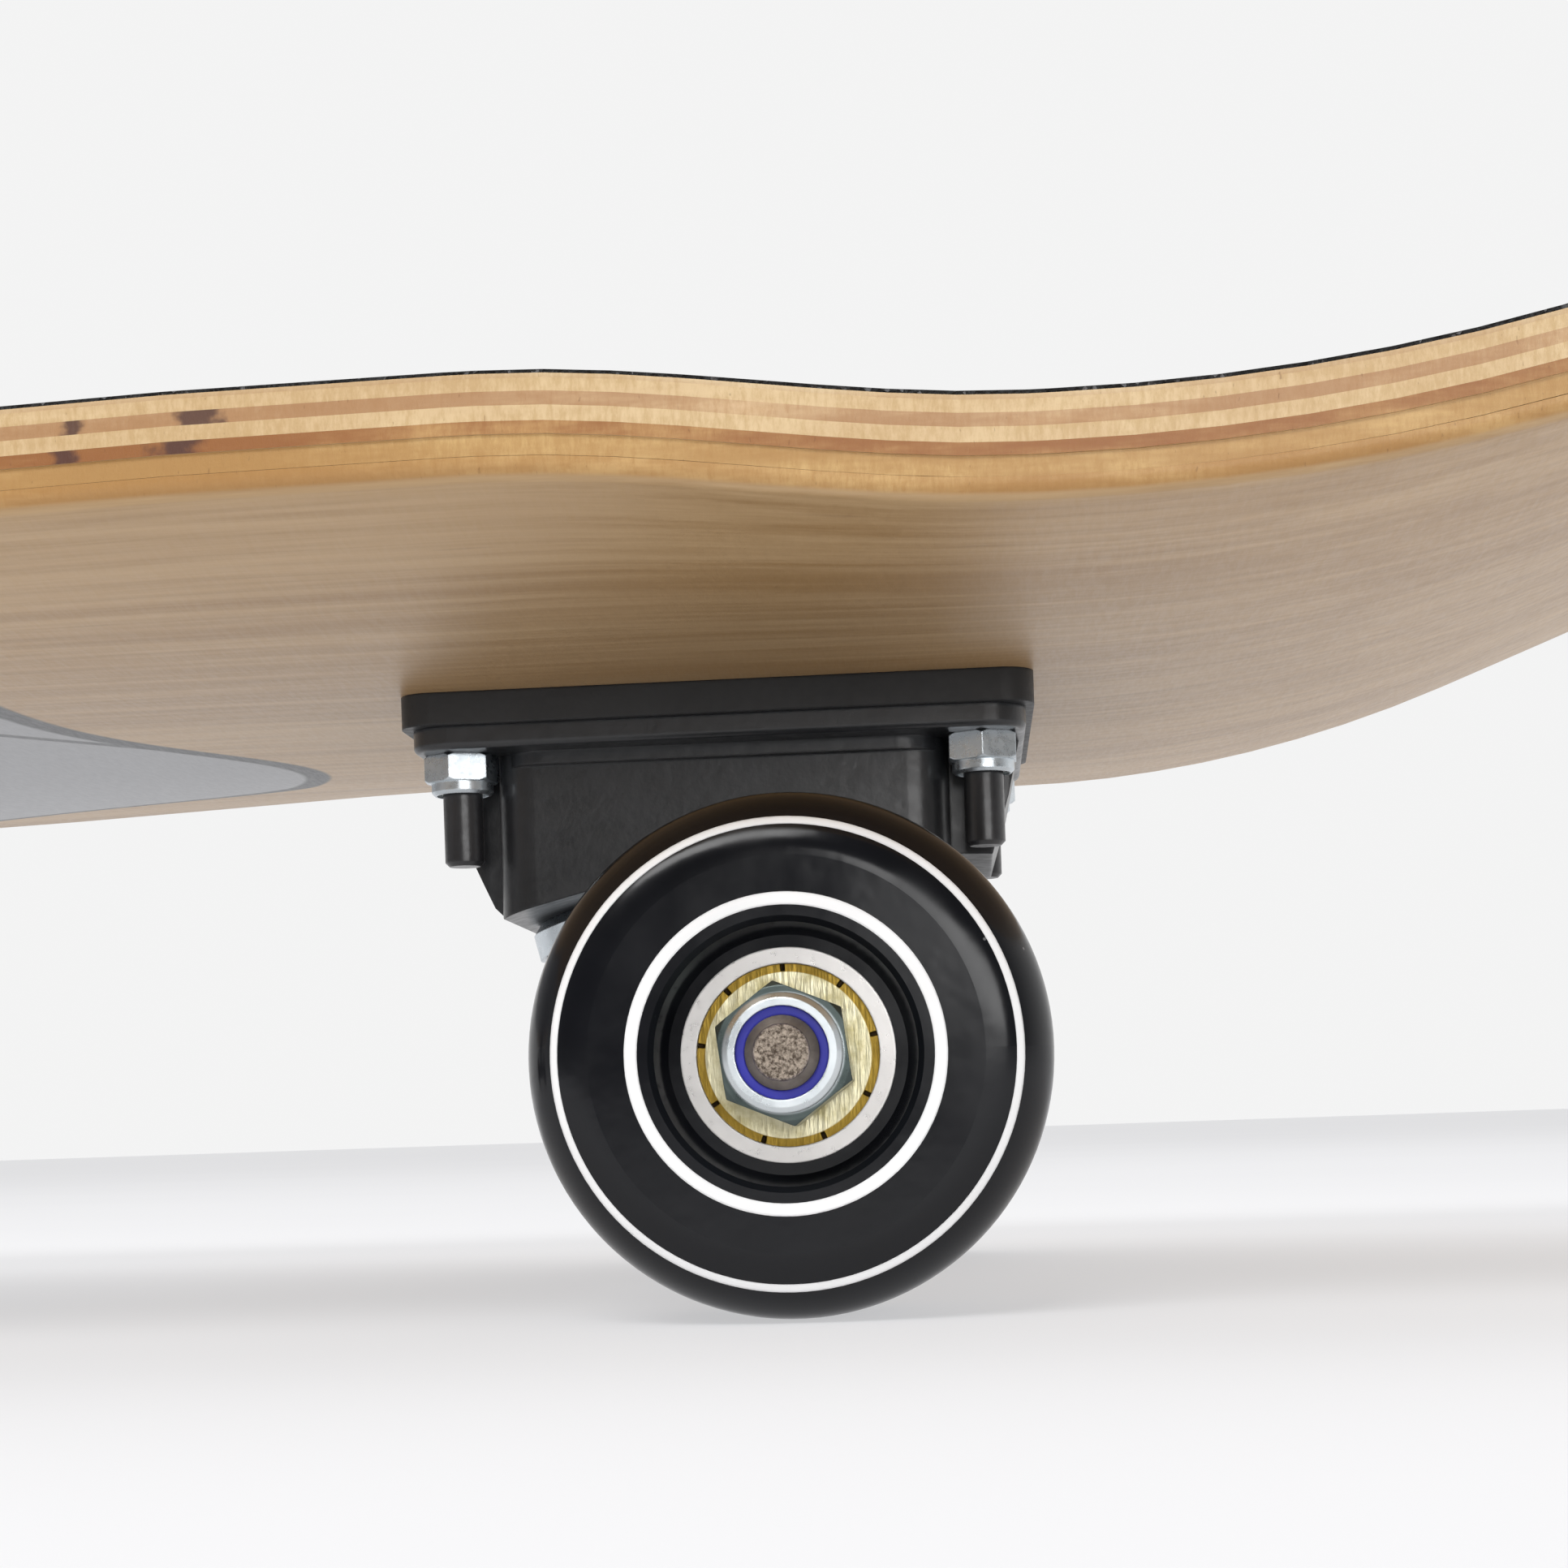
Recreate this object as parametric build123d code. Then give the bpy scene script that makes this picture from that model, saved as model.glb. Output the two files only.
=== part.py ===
"""A complete skateboard: a seven-ply deck, grip tape, two trucks and four wheels on ball bearings.

The board stands on the floor at z = 0, its length along X and its width along Y. Each truck is
drawn once, with x = 0 at its axle and +x towards the tip of the board, and is then placed at
both ends. The front is +X, and left is +Y. Every named piece becomes one STEP file.
"""
import os
from math import cos, radians, sin, sqrt, tan

from build123d import *

# Deck, in millimetres and degrees.
DECK_LENGTH = 790.0
DECK_WIDTH = 203.2
DECK_UNDERSIDE = 72.95
PLY_THICKNESSES = (1.85, 1.85, 1.16, 1.39, 1.26, 1.18, 0.55)
GRIP_THICKNESS = 0.5
FLAT_HALF_WIDTH = 28.0
KICK_START = 251.0
KICK_RADIUS = 193.5
KICK_ANGLE = 21.0
CONCAVE_MIDDLE = 2.0
CONCAVE_SHOULDER = 6.9
CONCAVE_KICK = 2.6
SHOULDER_RISE = (40.0, 196.0)
SHOULDER_FALL = (199.0, 249.0)
TAPER = ((240.0, 101.6), (300.0, 98.9), (350.0, 86.5), (383.0, 52.0), (395.0, 0.0))
PLY_INSETS = (0.9, 0.2, 0.0, 0.0, 0.0, 0.0, 0.3)
GRIP_INSET = 0.7
SHEET_MARGIN = 12.0
WING_POINTS = 6

# Truck position and mounting hardware.
BASE_X = 213.0
AXLE_OFFSET = 10.6
HOLE_SPACING = (63.5, 41.3)
RISER_SIZE = (76.0, 58.0, 3.9)
RISER_CORNER = 4.0
BOLT_RADIUS = 2.4
BOLT_HEAD_RADIUS = 4.6
BOLT_END = 52.9
NUT_FLATS = 8.0
NUT_HEIGHT = 4.8
NUT_COLLAR = 1.5
NUT_TURNS = {(-1, -1): 40.0, (-1, 1): 12.0, (1, -1): 31.0, (1, 1): 50.0}
CROSS_SLOT = (5.2, 1.1, 1.8)
FIT = 0.06

# Baseplate.
PLATE_SIZE = (74.0, 56.0, 2.7)
PLATE_CORNER = 5.0
PLATE_EDGE_RADIUS = 0.7
SHOULDER_PLAN = (-37.0, 16.0, 23.4, 5.0)
SHOULDER_BOTTOM = 64.7
BODY_WIDE = (-38.4, 17.0, 22.0, 5.0)
BODY_NARROW = (-44.5, 27.0, 15.0, 4.0)
BODY_INNER_END = ((-43.6, 68.0), (-43.3, 60.0), (-42.3, 53.7), (-39.8, 48.2))
BODY_OUTER_END = ((7.0, 55.5), (10.0, 53.0), (22.0, 52.5), (24.2, 59.7), (26.0, 68.0))
SEAT_STEP = (1.5, 55.5)
CAVITY_ENDS = (-39.3, -13.0, 6.0)
CAVITY_HALF_WIDTH = 12.0
BOSS_RADIUS = 11.0

# Kingpin and its stack, measured down the kingpin from the seat on the baseplate.
SEAT_X = -27.2
SEAT_Z = 49.2
KINGPIN_LEAN = 14.0
KINGPIN_RADIUS = 4.75
KINGPIN_HEAD = (14.0, 6.0)
KINGPIN_CHAMFER = 0.8
SEAT_WALL = 6.0
SEAT_EDGES = (10.9, 13.4)
RING_CENTRE = 20.0
RING_THICKNESS = 7.0
RING_RADIUS = 13.5
RING_HOLE = 6.5
WASHER_THICKNESS = 1.8
UPPER_WASHER = (10.8, 4.4)
LOWER_WASHER = (9.8, 3.6)
LOWER_WASHER_START = 34.0
WASHER_ROUNDING = 1.2
WASHER_SKIRT = 1.35
BUSHING_NECK = 1.6
BOARDSIDE_RADII = (11.0, 10.0)
ROADSIDE_RADIUS = 9.6
KINGPIN_NUT = (14.3, 6.8)
KINGPIN_END = 43.0
SQUASH_GAP = 0.3
STEER_LIMIT = 8.0

# Pivot, measured up the steering axis from the centre of the kingpin ring.
STEER_ANGLE = 26.0
PIVOT_RADIUS = 5.0
PIVOT_END = 41.5
ARM_RADIUS = 7.5
ARM_START = 16.0
ARM_END = 32.0
CUP_RADIUS = 8.0
CUP_MOUTH = 34.5
CUP_END = 43.5
BOSS_END = 46.0

# Hanger, axle and wheels.
AXLE_HEIGHT = 27.0
AXLE_RADIUS = 3.97
AXLE_HALF_LENGTH = 82.2
AXLE_THREAD_RADIUS = 3.7
AXLE_THREAD_START = 73.4
AXLE_CHAMFER = 1.1
HANGER_SECTIONS = ((47.6, 7.6, 7.6), (40.0, 8.6, 8.6), (20.0, 9.4, 11.0), (0.0, 9.0, 10.0))
WEB_LENGTH = 20.0
WEB_HALF_WIDTHS = (12.0, 22.0)
WEB_THICKNESS = 6.0
YOKE_HALF_WIDTH = 10.0
YOKE_PROFILE = ((-11.5, 35.5), (-8.5, 41.5), (4.5, 47.6), (8.0, 38.0), (9.0, 27.0), (4.0, 17.8),
                (-5.5, 19.0), (-8.6, 24.0), (-10.6, 29.5))
SPEED_WASHER = (4.1, 5.9, 0.9)
AXLE_NUT_FLATS = 12.7
AXLE_NUT_HEX = 5.8
AXLE_NUT_HEIGHT = 8.0
AXLE_INSERT_RADIUS = 4.66
AXLE_NUT_TURN = 37.0
WHEEL_CENTRE = 60.5
WHEEL_RADIUS = 27.0
WHEEL_HALF_WIDTH = 16.0
WHEEL_LIP = 7.0
WHEEL_CORE_RADIUS = 9.5
WHEEL_MOUTH = (12.2, 13.3)

# 608 ball bearing.
BEARING_WIDTH = 7.0
BEARING_RADIUS = 11.0
BEARING_INNER_RADIUS = 6.05
BEARING_OUTER_BORE = 8.95
BEARING_CENTRE = 8.5
BALL_RADIUS = 1.985
BALL_PITCH = 7.5
BALL_COUNT = 7
GROOVE_RADIUS = 2.02
CAGE_RADII = (7.0, 8.0)
CAGE_HALF_WIDTH = 2.4
POCKET_RADIUS = 2.04
SHIELD_INNER = 6.3
SHIELD_STEP = 8.45
SHIELD_OUTER = 9.33
SHIELD_THICKNESS = 0.3
SHIELD_DEPTHS = (0.25, 0.6)
SPACER_RADIUS = 5.2

AXLE_X = BASE_X + AXLE_OFFSET
DECK_THICKNESS = sum(PLY_THICKNESSES)
DECK_TOP = DECK_UNDERSIDE + DECK_THICKNESS
RISER_BOTTOM = DECK_UNDERSIDE - RISER_SIZE[2]
PLATE_BOTTOM = RISER_BOTTOM - PLATE_SIZE[2]
TOP = DECK_UNDERSIDE + 120.0


def smooth(value, start, end):
    """Rise from 0 to 1 between start and end, with level ends."""
    part = min(max((value - start) / (end - start), 0.0), 1.0)
    return part * part * (3.0 - 2.0 * part)


def centre_line_height(x):
    """Height of the deck's middle line over its flat, raised at both kicks."""
    run = abs(x) - KICK_START
    angle = radians(KICK_ANGLE)
    bend = KICK_RADIUS * sin(angle)
    if run <= 0.0:
        return 0.0
    if run <= bend:
        return KICK_RADIUS - sqrt(KICK_RADIUS**2 - run**2)
    return KICK_RADIUS * (1.0 - cos(angle)) + (run - bend) * tan(angle)


def concave_height(x):
    """Height of the rail over the middle line."""
    rise = (CONCAVE_SHOULDER - CONCAVE_MIDDLE) * smooth(abs(x), *SHOULDER_RISE)
    fall = (CONCAVE_SHOULDER - CONCAVE_KICK) * smooth(abs(x), *SHOULDER_FALL)
    return CONCAVE_MIDDLE + rise - fall


def underside_height(x, y):
    """Height of the deck's underside: flat in the middle strip, curling up to the rails."""
    across = max(abs(y) - FLAT_HALF_WIDTH, 0.0) / (DECK_WIDTH / 2 - FLAT_HALF_WIDTH)
    return DECK_UNDERSIDE + centre_line_height(x) + concave_height(x) * across**2


def stretch(x, y):
    """Height taken up by a sheet one unit thick where the deck slopes."""
    reach = 0.5
    slope_x = (underside_height(x + reach, y) - underside_height(x - reach, y)) / (2 * reach)
    slope_y = (underside_height(x, y + reach) - underside_height(x, y - reach)) / (2 * reach)
    return sqrt(1 + slope_x**2 + slope_y**2)


def stations():
    """Places along the deck where its cross-section is drawn, closest where it bends."""
    bend_end = KICK_START + KICK_RADIUS * sin(radians(KICK_ANGLE))
    spans = [(0.0, SHOULDER_RISE[0], 1), (*SHOULDER_RISE, 6), (SHOULDER_RISE[1], SHOULDER_FALL[0], 1),
             (*SHOULDER_FALL, 8), (SHOULDER_FALL[1], KICK_START, 1), (KICK_START, bend_end, 9),
             (bend_end, DECK_LENGTH / 2 + SHEET_MARGIN, 3)]
    ahead = [start + (end - start) * (step + 1) / steps
             for start, end, steps in spans for step in range(steps)]
    return [-x for x in reversed(ahead)] + ahead


def profile_edges(x, height):
    """The deck's cross-section at one height: a wing, the flat middle and the other wing."""
    rail = DECK_WIDTH / 2 + SHEET_MARGIN
    ys = [FLAT_HALF_WIDTH + (rail - FLAT_HALF_WIDTH) * step / WING_POINTS for step in range(WING_POINTS + 1)]
    wing = [Vector(x, y, underside_height(x, y) + height * stretch(x, y)) for y in ys]
    other = [Vector(point.X, -point.Y, point.Z) for point in wing]
    return [Spline(*reversed(other)), Line(other[0], wing[0]), Spline(*wing)]


def pressed_sheet(height, thickness, inset):
    """A sheet bent to the deck's shape, its edge a little inside the deck's outline."""
    sections = []
    for x in stations():
        lower = profile_edges(x, height)
        upper = profile_edges(x, height + thickness)
        ends = [Line(lower[0] @ 0, upper[0] @ 0), Line(lower[2] @ 1, upper[2] @ 1)]
        sections.append(Wire(lower + upper + ends))
    prism = extrude(Plane.XY.offset(DECK_UNDERSIDE / 2) * deck_outline(inset), amount=TOP)
    return prism & Solid.make_loft(sections, ruled=True)


def deck_outline(inset):
    """The deck seen from above: straight sides that taper into round ends."""
    scale_x = 1 - 2 * inset / DECK_LENGTH
    scale_y = 1 - 2 * inset / DECK_WIDTH
    points = [(x * scale_x, y * scale_y) for x, y in TAPER]
    taper = Spline(*points, tangents=((1, 0), (0, -1)))
    quarter = Curve() + [Line((0, points[0][1]), points[0]), taper]
    half = quarter + mirror(quarter, Plane.XZ)
    return make_face(half + mirror(half, Plane.YZ))


def hole_centres():
    """Centres of the eight mounting bolts, with the end of the board and place in its pattern."""
    return [
        (end, side_x, side_y, end * BASE_X + end * side_x * HOLE_SPACING[0] / 2,
         end * side_y * HOLE_SPACING[1] / 2)
        for end in (-1, 1)
        for side_x in (-1, 1)
        for side_y in (-1, 1)
    ]


def rod(plane, radius, start, end):
    """A round bar on the plane's normal, from start to end."""
    return extrude(plane.offset(start) * Circle(radius), amount=end - start)


def hexagon(plane, flats, start, end, turn=0.0):
    """A hexagonal bar on the plane's normal, from start to end."""
    shape = RegularPolygon(flats / 2, 6, major_radius=False, rotation=turn)
    return extrude(plane.offset(start) * shape, amount=end - start)


def turned(plane, points):
    """A body turned about the plane's normal, from (radius, distance along it) points."""
    side = Plane(plane.origin, x_dir=plane.x_dir, z_dir=plane.x_dir.cross(plane.z_dir))
    return revolve(side * make_face(Polyline(*points, close=True)), Axis(plane.origin, plane.z_dir))


def tube(plane, inner, outer, start, end):
    """A round sleeve on the plane's normal."""
    return turned(plane, [(inner, start), (outer, start), (outer, end), (inner, end)])


def lock_nut(plane, flats, hex_height, height, bore, insert_radius, turn=0.0):
    """A hexagonal nut with a round collar, and the nylon ring held in the collar."""
    collar_radius = 0.47 * flats
    lip = (height - hex_height) * 0.25
    nut = hexagon(plane, flats, 0.0, hex_height, turn)
    nut = nut & turned(plane, [(0, 0), (flats * 0.53, 0), (flats * 0.575, flats * 0.04),
                               (flats * 0.575, hex_height - flats * 0.04),
                               (flats * 0.53, hex_height), (0, hex_height)])
    nut = nut + turned(plane, [(0, hex_height), (collar_radius, hex_height),
                               (collar_radius, height - lip), (collar_radius - lip, height),
                               (0, height)])
    nut = nut - rod(plane, bore, 0.0, height) - rod(plane, insert_radius, hex_height, height)
    ring = tube(plane, bore - FIT / 2, insert_radius - FIT / 2, hex_height + FIT / 2, height - lip)
    return nut, ring


def box_plan(low_x, high_x, half_width, corner):
    """A rounded rectangle seen from above, drawn from its ends and half width."""
    centre = (low_x + high_x) / 2
    return Pos(centre, 0) * RectangleRounded(high_x - low_x, 2 * half_width, corner)


def side_slab(points, half_width):
    """A side profile of (x, z) points, extruded both ways across the board."""
    profile = Plane.XZ * make_face(Polyline(*points, close=True))
    return extrude(profile, amount=half_width, both=True)


# ---------------------------------------------------------------- deck, tape and bolts

def make_deck():
    """The seven plies, from the underside up, and the grip tape on top."""
    shanks, heads, piercings = Part(), Part(), Part()
    for _, _, _, x, y in hole_centres():
        upright = Plane((x, y, 0))
        shanks += rod(upright, BOLT_RADIUS + FIT, DECK_UNDERSIDE / 2, TOP)
        heads += turned(upright, [(0, DECK_TOP - BOLT_HEAD_RADIUS),
                                  (BOLT_HEAD_RADIUS + FIT, DECK_TOP + FIT), (0, DECK_TOP + FIT)])
        piercings += rod(upright, BOLT_HEAD_RADIUS + 3 * FIT, DECK_UNDERSIDE, TOP)
    plies = []
    for number, (thickness, inset) in enumerate(zip(PLY_THICKNESSES, PLY_INSETS)):
        height = sum(PLY_THICKNESSES[:number])
        plies.append(pressed_sheet(height, thickness, inset) - shanks - heads)
    return plies, pressed_sheet(DECK_THICKNESS, GRIP_THICKNESS, GRIP_INSET) - piercings


def make_mounting_hardware():
    """The eight countersunk bolts, their lock nuts and the nylon rings in the nuts."""
    bolts, nuts, rings = [], [], []
    for end, side_x, side_y, x, y in hole_centres():
        upright = Plane((x, y, 0))
        bolt = turned(upright, [(0, BOLT_END), (BOLT_RADIUS - 0.5, BOLT_END),
                                (BOLT_RADIUS, BOLT_END + 0.5),
                                (BOLT_RADIUS, DECK_TOP - BOLT_HEAD_RADIUS + BOLT_RADIUS),
                                (BOLT_HEAD_RADIUS, DECK_TOP), (BOLT_HEAD_RADIUS, DECK_TOP + 0.3),
                                (0, DECK_TOP + 0.3)])
        slot = Pos(x, y, DECK_TOP) * Box(*CROSS_SLOT)
        bolts.append(bolt - slot - Pos(x, y, DECK_TOP) * Rot(0, 0, 90) * Box(*CROSS_SLOT))
        downward = Plane((x, y, PLATE_BOTTOM), x_dir=(end, 0, 0), z_dir=(0, 0, -1))
        nut, ring = lock_nut(downward, NUT_FLATS, NUT_HEIGHT - NUT_COLLAR, NUT_HEIGHT,
                             BOLT_RADIUS + FIT, BOLT_RADIUS + 0.75, NUT_TURNS[side_x, side_y])
        nuts.append(nut)
        rings.append(ring)
    return bolts, nuts, rings


# ---------------------------------------------------------------- one truck, axle at x = 0

KINGPIN = Plane((SEAT_X, 0, SEAT_Z),
                x_dir=(cos(radians(KINGPIN_LEAN)), 0, sin(radians(KINGPIN_LEAN))),
                z_dir=(sin(radians(KINGPIN_LEAN)), 0, -cos(radians(KINGPIN_LEAN))))
RING = KINGPIN.offset(RING_CENTRE)
PIVOT = Plane(RING.origin, x_dir=(0, 1, 0),
              z_dir=(cos(radians(STEER_ANGLE)), 0, sin(radians(STEER_ANGLE))))


def make_riser():
    """The flat pad between the baseplate and the deck."""
    length, width, thickness = RISER_SIZE
    pad = extrude(Pos(-AXLE_OFFSET, 0, RISER_BOTTOM) * RectangleRounded(length, width, RISER_CORNER),
                  amount=thickness)
    return pad - base_holes()


def base_holes():
    """The four bolt holes of one truck."""
    holes = Part()
    for x in (-HOLE_SPACING[0] / 2, HOLE_SPACING[0] / 2):
        for y in (-HOLE_SPACING[1] / 2, HOLE_SPACING[1] / 2):
            holes += rod(Plane((x - AXLE_OFFSET, y, 0)), BOLT_RADIUS + FIT, 0, TOP)
    return holes


def seat_height(x):
    """Height of the plane that the kingpin's upper washer sits on."""
    return SEAT_Z + (x - SEAT_X) * tan(radians(KINGPIN_LEAN))


def make_baseplate():
    """The cast plate, with the kingpin seat at its inner end and the pivot boss at its outer end."""
    length, width, thickness = PLATE_SIZE
    plate = extrude(Pos(-AXLE_OFFSET, 0, PLATE_BOTTOM) * RectangleRounded(length, width, PLATE_CORNER),
                    amount=thickness)
    plate = fillet(plate.faces().sort_by(Axis.Z)[0].outer_wire().edges(), PLATE_EDGE_RADIUS)

    low, high = SEAT_X - SEAT_EDGES[0], SEAT_X + SEAT_EDGES[1]
    seat = [(low, seat_height(low)), (high, seat_height(high)), (high + SEAT_STEP[0], SEAT_STEP[1])]
    body = side_slab([*BODY_INNER_END, *seat, *BODY_OUTER_END], BODY_WIDE[2])
    plan = box_plan(*BODY_WIDE) + box_plan(*BODY_NARROW)
    body = body & extrude(Pos(0, 0, AXLE_HEIGHT) * plan, amount=DECK_UNDERSIDE - AXLE_HEIGHT)
    shoulder = extrude(Pos(0, 0, SHOULDER_BOTTOM) * box_plan(*SHOULDER_PLAN),
                       amount=RISER_BOTTOM - SHOULDER_BOTTOM)
    boss = rod(PIVOT, BOSS_RADIUS, CUP_MOUTH, BOSS_END)

    inner_end, seat_end, outer_end = CAVITY_ENDS
    floor = [(x, seat_height(x) + SEAT_WALL / cos(radians(KINGPIN_LEAN))) for x in (inner_end, seat_end)]
    cavity = side_slab([(inner_end, DECK_UNDERSIDE), *floor, (outer_end, floor[1][1]),
                        (outer_end, DECK_UNDERSIDE)], CAVITY_HALF_WIDTH)
    base = plate + body + shoulder + boss - cavity - base_holes()
    base = base - rod(KINGPIN, KINGPIN_RADIUS + FIT, -DECK_UNDERSIDE / 2, 1.0)
    return base - rod(PIVOT, CUP_RADIUS + FIT / 2, 0.0, CUP_END)


def make_kingpin():
    """The hexagon-headed bolt that clamps the bushings, its head inside the baseplate."""
    flats, height = KINGPIN_HEAD
    head = hexagon(KINGPIN, flats, -SEAT_WALL - height, -SEAT_WALL)
    shank = turned(KINGPIN, [(0, -SEAT_WALL), (KINGPIN_RADIUS, -SEAT_WALL),
                             (KINGPIN_RADIUS, KINGPIN_END - KINGPIN_CHAMFER),
                             (KINGPIN_RADIUS - KINGPIN_CHAMFER, KINGPIN_END), (0, KINGPIN_END)])
    return head + shank


def cup_washer(plane, radius, depth):
    """A pressed washer whose skirt holds the end of a bushing."""
    inside = radius - WASHER_SKIRT
    return turned(plane, [(KINGPIN_RADIUS + FIT, 0), (radius - WASHER_ROUNDING, 0),
                          (radius, WASHER_ROUNDING), (radius, depth), (inside, depth),
                          (inside, WASHER_THICKNESS), (KINGPIN_RADIUS + FIT, WASHER_THICKNESS)])


def squash(radius):
    """Room that a bushing leaves for the ring to tilt into, at a distance from the kingpin."""
    return SQUASH_GAP + radius * sin(radians(STEER_LIMIT))


def make_stack():
    """The two bushings, the two cup washers, the lock nut and its nylon ring on the kingpin."""
    bore = KINGPIN_RADIUS + FIT
    upper_ring = RING_CENTRE - RING_THICKNESS / 2
    lower_ring = RING_CENTRE + RING_THICKNESS / 2
    neck = UPPER_WASHER[0] - BUSHING_NECK
    waist = UPPER_WASHER[1] + 1.2
    swell, rim = BOARDSIDE_RADII
    boardside = turned(KINGPIN, [(bore, WASHER_THICKNESS), (neck, WASHER_THICKNESS), (neck, waist),
                                 (swell, waist + 2.0), (swell, upper_ring - 3.4),
                                 (rim, upper_ring - squash(rim)), (bore, upper_ring - squash(bore))])
    neck = LOWER_WASHER[0] - BUSHING_NECK
    waist = LOWER_WASHER_START - LOWER_WASHER[1]
    rim = ROADSIDE_RADIUS
    roadside = turned(KINGPIN, [(bore, lower_ring + squash(bore)), (rim, lower_ring + squash(rim)),
                                (rim, waist - 1.2), (neck, waist - 0.4),
                                (neck, LOWER_WASHER_START - WASHER_THICKNESS),
                                (bore, LOWER_WASHER_START - WASHER_THICKNESS)])
    upward = Plane(KINGPIN.offset(LOWER_WASHER_START).origin, x_dir=KINGPIN.x_dir, z_dir=-KINGPIN.z_dir)
    washers = [cup_washer(KINGPIN, *UPPER_WASHER), cup_washer(upward, *LOWER_WASHER)]
    flats, height = KINGPIN_NUT
    nut, ring = lock_nut(KINGPIN.offset(LOWER_WASHER_START), flats, height * 0.72, height, bore,
                         KINGPIN_RADIUS + 1.0)
    return boardside, roadside, washers, nut, ring


def make_pivot_cup():
    """The urethane socket in the baseplate that the hanger's pivot turns in."""
    cup = rod(PIVOT, CUP_RADIUS, CUP_MOUTH, CUP_END)
    return cup - pivot_pin(PIVOT_RADIUS + FIT, PIVOT_END + FIT)


def pivot_pin(radius, end):
    """The round-ended pin at the end of the hanger's arm."""
    return rod(PIVOT, radius, ARM_END - 4.0, end - radius) + Pos(
        PIVOT.offset(end - radius).origin) * Sphere(radius)


def make_hanger():
    """The cast hanger: axle beam, kingpin ring, web between them, and the pivot arm."""
    half = [Plane((0, y, AXLE_HEIGHT), x_dir=(1, 0, 0), z_dir=(0, 1, 0)) * Ellipse(rx, rz)
            for y, rx, rz in HANGER_SECTIONS]
    other = [Plane((0, -y, AXLE_HEIGHT), x_dir=(1, 0, 0), z_dir=(0, 1, 0)) * Ellipse(rx, rz)
             for y, rx, rz in HANGER_SECTIONS[:-1]]
    beam = loft(half + other[::-1])
    ring = rod(RING, RING_RADIUS, -RING_THICKNESS / 2, RING_THICKNESS / 2)
    near, far = WEB_HALF_WIDTHS
    web = extrude(RING * make_face(Polyline((0, -near), (WEB_LENGTH, -far), (WEB_LENGTH, far), (0, near),
                                            close=True)), amount=WEB_THICKNESS / 2, both=True)
    yoke = side_slab(YOKE_PROFILE, YOKE_HALF_WIDTH)
    arm = rod(PIVOT, ARM_RADIUS, ARM_START, ARM_END - 2.0) + turned(
        PIVOT, [(0, ARM_END - 2.0), (ARM_RADIUS, ARM_END - 2.0), (PIVOT_RADIUS, ARM_END), (0, ARM_END)])
    hanger = beam + ring + web + yoke + arm + pivot_pin(PIVOT_RADIUS, PIVOT_END)
    hanger = hanger - rod(RING, RING_HOLE, -RING_THICKNESS, RING_THICKNESS)
    across = Plane((0, 0, AXLE_HEIGHT), x_dir=(1, 0, 0), z_dir=(0, 1, 0))
    return hanger - rod(across, AXLE_RADIUS + FIT / 2, -DECK_WIDTH, DECK_WIDTH)


def outboard(side, distance):
    """A plane across the axle, facing out of the board, at a distance from the middle."""
    return Plane((0, side * distance, AXLE_HEIGHT), x_dir=(1, 0, 0), z_dir=(0, side, 0))


def make_axle():
    """The steel axle, a little thinner where the nuts screw on, its ends chamfered."""
    half = [(AXLE_RADIUS, AXLE_THREAD_START), (AXLE_THREAD_RADIUS, AXLE_THREAD_START),
            (AXLE_THREAD_RADIUS, AXLE_HALF_LENGTH - AXLE_CHAMFER),
            (AXLE_THREAD_RADIUS - AXLE_CHAMFER, AXLE_HALF_LENGTH), (0, AXLE_HALF_LENGTH)]
    return turned(outboard(1, 0.0), half + [(radius, -distance) for radius, distance in reversed(half)])


def make_axle_hardware():
    """Lock nuts, nylon rings, speed washers and bearing spacers of one axle, both ends."""
    nuts, rings, washers, spacers = [], [], [], []
    inner, outer, thickness = SPEED_WASHER
    reach = BEARING_CENTRE + BEARING_WIDTH / 2
    for side in (-1, 1):
        wheel = outboard(side, WHEEL_CENTRE)
        nut_face = outboard(side, WHEEL_CENTRE + reach + thickness)
        nut, ring = lock_nut(nut_face, AXLE_NUT_FLATS, AXLE_NUT_HEX, AXLE_NUT_HEIGHT,
                             AXLE_THREAD_RADIUS + FIT, AXLE_INSERT_RADIUS, AXLE_NUT_TURN)
        nuts.append(nut)
        rings.append(ring)
        washers.append(tube(wheel, inner, outer, reach, reach + thickness))
        washers.append(tube(wheel, inner, outer, -reach - thickness, -reach))
        gap = BEARING_CENTRE - BEARING_WIDTH / 2
        spacers.append(tube(wheel, inner, SPACER_RADIUS, -gap, gap))
    return nuts, rings, washers, spacers


# ---------------------------------------------------------------- one wheel and its bearings

def make_wheel(plane):
    """The cast urethane wheel, with a stepped bore for two bearings."""
    reach = BEARING_CENTRE + BEARING_WIDTH / 2
    ledge = BEARING_CENTRE - BEARING_WIDTH / 2
    step, mouth = WHEEL_MOUTH
    half = [(WHEEL_CORE_RADIUS, ledge), (BEARING_RADIUS, ledge), (BEARING_RADIUS, reach), (step, reach),
            (mouth, WHEEL_HALF_WIDTH - 0.5), (mouth + 0.6, WHEEL_HALF_WIDTH)]
    tread = [(WHEEL_RADIUS, WHEEL_HALF_WIDTH), (WHEEL_RADIUS, -WHEEL_HALF_WIDTH)]
    outline = half + tread + [(r, -w) for r, w in reversed(half)]
    profile = make_face(Polyline(*outline, close=True))
    corners = profile.vertices().filter_by(lambda v: v.X > WHEEL_RADIUS - 0.01)
    profile = fillet(corners, WHEEL_LIP)
    side = Plane(plane.origin, x_dir=plane.x_dir, z_dir=plane.x_dir.cross(plane.z_dir))
    return revolve(side * profile, Axis(plane.origin, plane.z_dir))


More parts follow.
